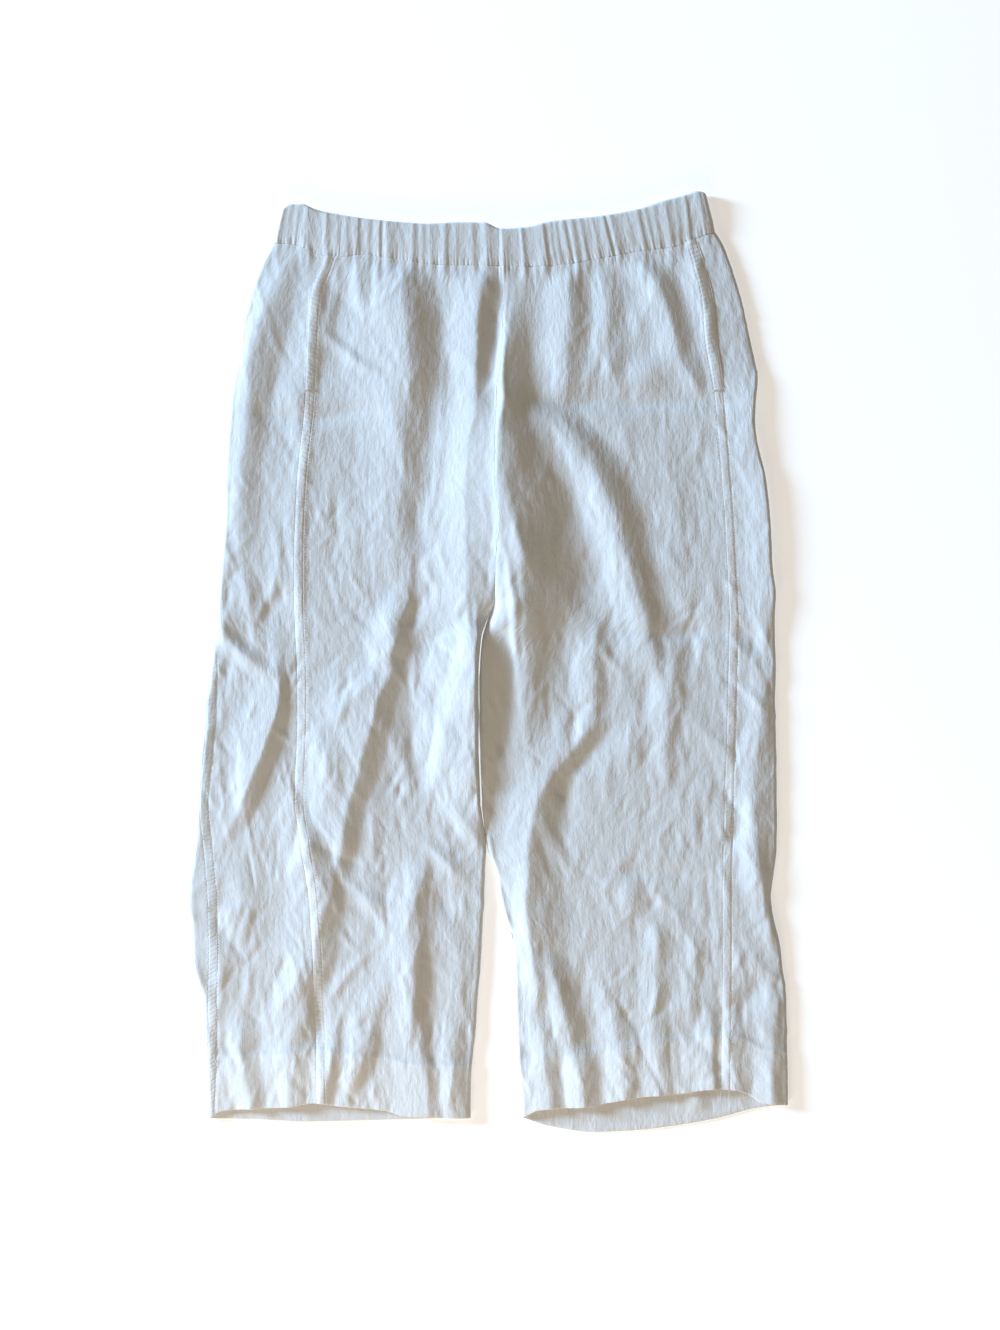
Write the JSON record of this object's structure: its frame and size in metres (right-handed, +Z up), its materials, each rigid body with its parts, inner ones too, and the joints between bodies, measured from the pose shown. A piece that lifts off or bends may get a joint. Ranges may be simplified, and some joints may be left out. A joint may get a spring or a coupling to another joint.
{
  "type": "capri pants",
  "caption": "Wide-leg pull-on linen capri pants laid flat, with a gathered elastic waistband, side panels, in-seam pockets and deep stitched hems.",
  "frame": {"origin": "on the surface that the garment lies on, under the middle of its box", "axes": "+Y from the hems to the waist, +X towards the wearer's left leg, +Z up off the surface, out of the front"},
  "size_m": [0.5993, 0.9398, 0.0183],
  "materials": {
    "linen": "washed plain-weave linen, matt",
    "pocketing": "plain fine cotton, matt",
    "thread": "spun sewing thread, matt"
  },
  "bodies": {
    "root": {"front_right": "linen", "front_left": "linen", "side_right": "linen", "side_left": "linen", "back_right": "linen", "back_left": "linen", "waistband": "linen", "hem_front_right": "linen", "hem_side_right": "linen", "hem_back_right": "linen", "hem_front_left": "linen", "hem_side_left": "linen", "hem_back_left": "linen", "pocket_bag_right": "pocketing", "pocket_bag_left": "pocketing"}
  },
  "joints": []
}
